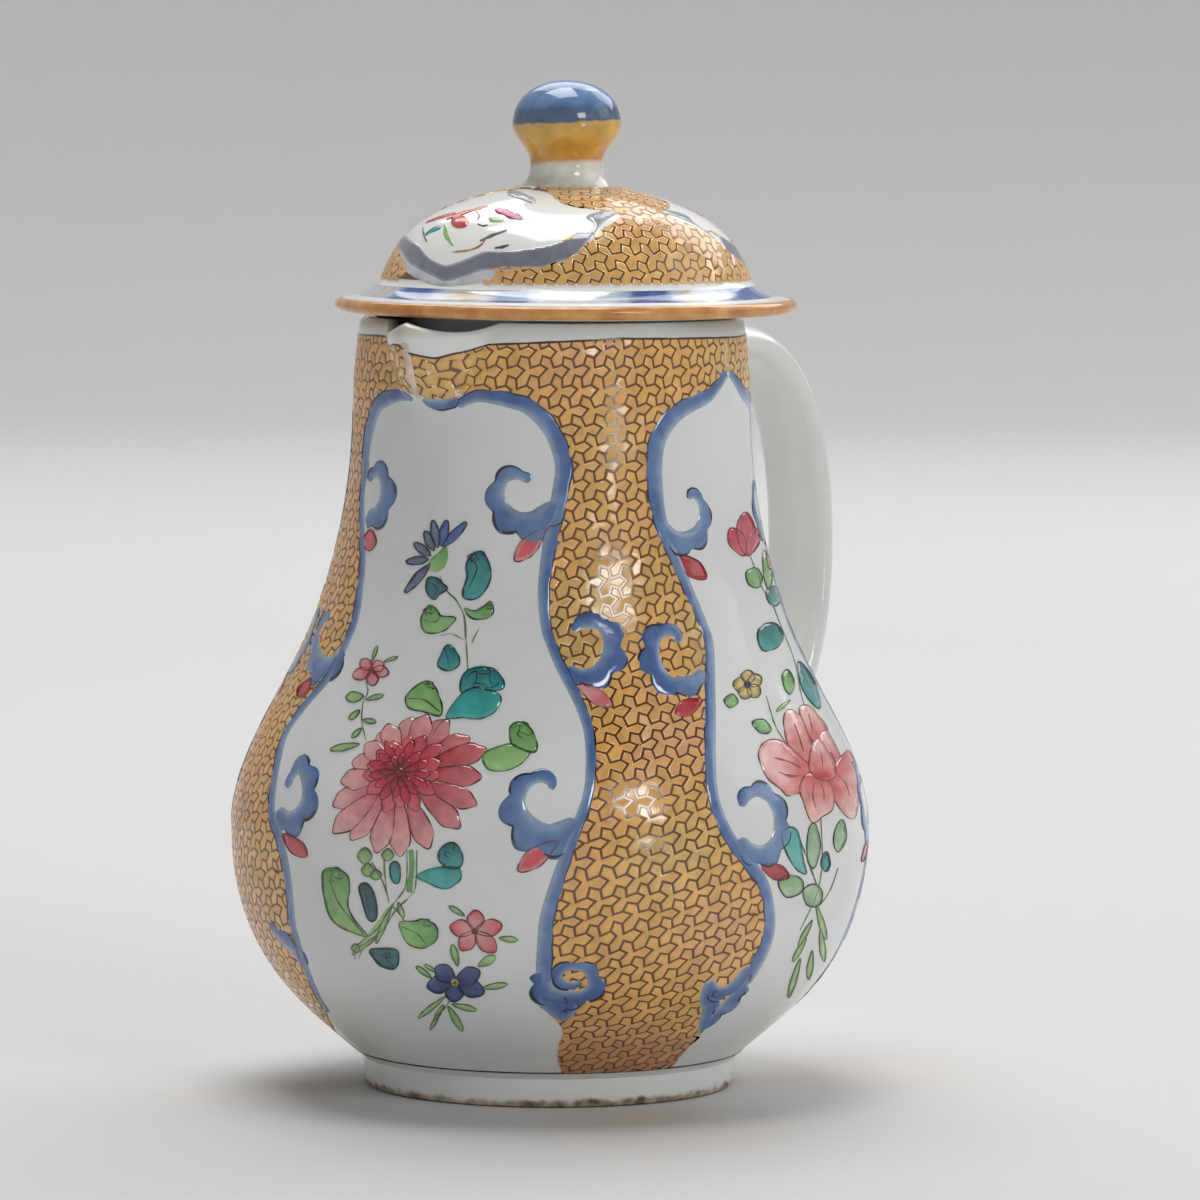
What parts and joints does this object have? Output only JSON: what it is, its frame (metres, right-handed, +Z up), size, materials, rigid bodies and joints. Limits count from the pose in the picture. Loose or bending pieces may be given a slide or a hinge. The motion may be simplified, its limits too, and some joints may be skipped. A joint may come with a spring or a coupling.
{
  "type": "cream jug",
  "caption": "Pear-shaped porcelain cream jug with a pinched beak spout, a strap handle and a domed, knobbed cover that lifts off.",
  "frame": {"origin": "on the plane the foot ring stands on, under the middle of the whole outline from belly to handle", "axes": "+Z up, the handle towards +X and the beak spout towards -X"},
  "size_m": [0.1026, 0.0862, 0.1354],
  "materials": {
    "enamelled_body": "white porcelain under clear glaze, painted with raised enamels: ochre diaper, blue scrolls and flower sprays",
    "white_glaze": "plain white porcelain under a cool clear glaze",
    "enamelled_cover": "white porcelain under clear glaze, ochre diaper with a white reserve, blue cloud border, brown edge",
    "blue_knob": "ball knob, blue enamel above and ochre below, on a white neck"
  },
  "bodies": {
    "jug": {"thrown_body": "enamelled_body", "beak_spout": "white_glaze", "strap_handle": "white_glaze"},
    "cover": {"cover_dome": "enamelled_cover", "cover_locating_ring": "white_glaze", "cover_knob": "blue_knob"}
  },
  "joints": [
    {"name": "cover_lift", "type": "slide", "parent": "jug", "child": "cover", "axis": [0, 0, 1], "range_m": [0, 0.06]}
  ]
}
